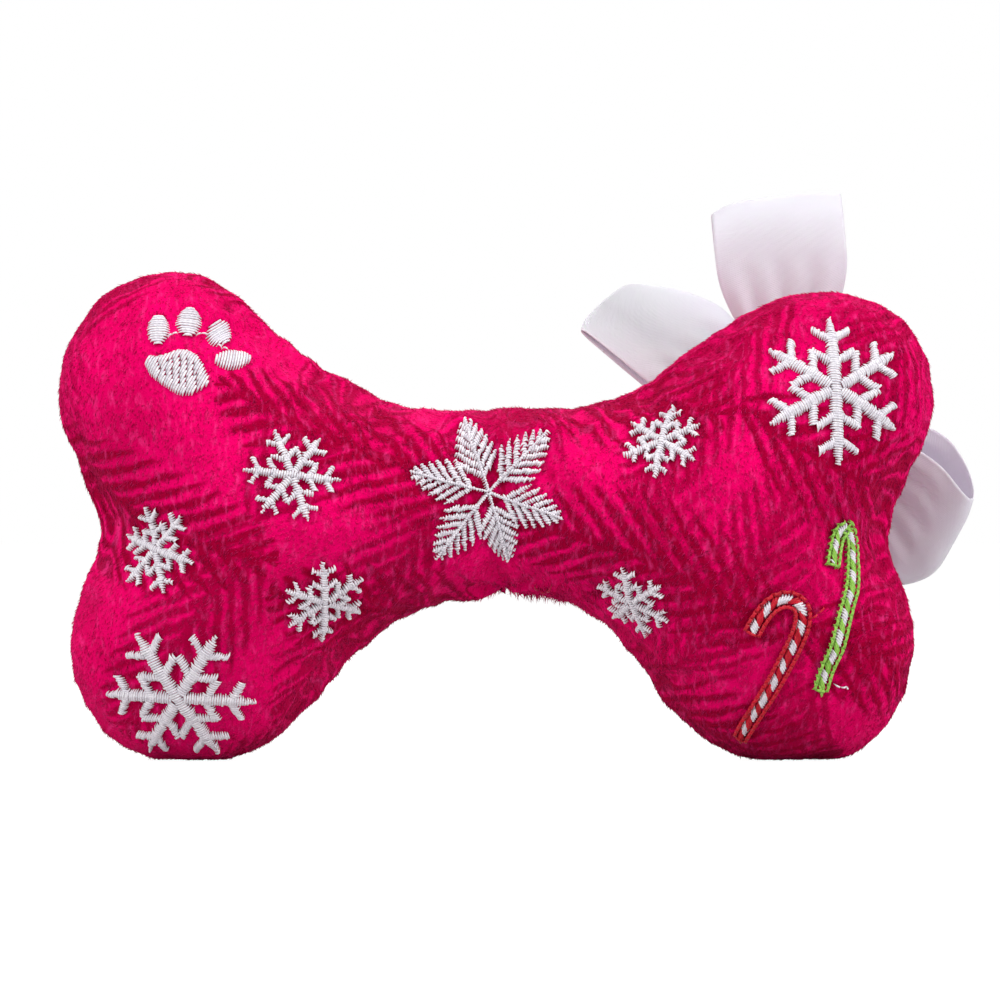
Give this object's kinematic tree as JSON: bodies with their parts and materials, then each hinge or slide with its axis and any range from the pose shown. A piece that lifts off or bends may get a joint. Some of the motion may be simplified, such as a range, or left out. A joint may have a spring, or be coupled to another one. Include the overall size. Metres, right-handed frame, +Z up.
{
  "type": "plush bone dog toy",
  "caption": "Stuffed plush bone with a squeaker inside, raised winter embroidery on its front and a ribbon bow tacked to its back; stands on its lower lobes.",
  "frame": {"origin": "on the ground, under the middle of the toy's bounding box", "axes": "+X along the bone towards the bow, +Y from the embroidered front to the back, +Z up"},
  "size_m": [0.1802, 0.0698, 0.1097],
  "materials": {
    "plush": "short-pile polyester plush, hot pink with a darker tone-on-tone bough print",
    "stuffing": "polyester fibre filling",
    "white_thread": "lustrous white embroidery thread in satin stitch",
    "red_thread": "lustrous red embroidery thread",
    "green_thread": "lustrous green embroidery thread",
    "satin": "white satin ribbon with a fine diagonal weave",
    "soft_plastic": "soft moulded bladder, matt",
    "hard_plastic": "moulded, glossy",
    "reed_film": "thin film"
  },
  "bodies": {
    "bone": {"front_panel": "plush", "back_panel": "plush", "fill_upper_left": "stuffing", "fill_lower_left": "stuffing", "fill_upper_right": "stuffing", "fill_lower_right": "stuffing", "fill_middle_front": "stuffing", "fill_middle_back": "stuffing", "squeaker_bladder": "soft_plastic", "squeaker_reed_holder": "hard_plastic", "squeaker_reed": "reed_film", "snowflake_right_lobe": "white_thread", "snowflake_left_lobe": "white_thread", "snowflake_shaft_left": "white_thread", "snowflake_notch_left": "white_thread", "snowflake_lower_left": "white_thread", "snowflake_shaft_right": "white_thread", "snowflake_lower_right": "white_thread", "frond_star": "white_thread", "paw_pad": "white_thread", "paw_toe_1": "white_thread", "paw_toe_2": "white_thread", "paw_toe_3": "white_thread", "paw_toe_4": "white_thread", "candy_cane_red": "red_thread", "candy_cane_green": "green_thread"},
    "bow": {"bow_band": "satin"},
    "loop_top": {"bow_loop_top": "satin"},
    "loop_left": {"bow_loop_left": "satin"},
    "loop_right": {"bow_loop_right": "satin"},
    "loop_lower": {"bow_loop_lower": "satin"}
  },
  "joints": [
    {"name": "bow_swivel", "type": "hinge", "parent": "bone", "child": "bow", "pos_m": [0.05033, 0.01161, 0.06291], "axis": [0.1364, 0.975, 0.1752], "range_deg": [-15, 15], "stiffness_Nm_per_rad": 0.01},
    {"name": "flop_top", "type": "hinge", "parent": "bow", "child": "loop_top", "pos_m": [0.04936, 0.00805, 0.06747], "axis": [-0.9839, 0.154, -0.0909], "range_deg": [-6, 9], "stiffness_Nm_per_rad": 0.004},
    {"name": "flop_left", "type": "hinge", "parent": "bow", "child": "loop_left", "pos_m": [0.04636, 0.01446, 0.06614], "axis": [-0.5147, 0.2209, -0.8284], "range_deg": [-6, 9], "stiffness_Nm_per_rad": 0.004},
    {"name": "flop_right", "type": "hinge", "parent": "bow", "child": "loop_right", "pos_m": [0.0554, 0.01406, 0.06128], "axis": [0.3918, -0.2156, 0.8944], "range_deg": [-12, 12], "stiffness_Nm_per_rad": 0.004},
    {"name": "flop_lower", "type": "hinge", "parent": "bow", "child": "loop_lower", "pos_m": [0.0481, 0.00998, 0.05774], "axis": [0.923, -0.0608, -0.38], "range_deg": [-6, 12], "stiffness_Nm_per_rad": 0.004}
  ]
}
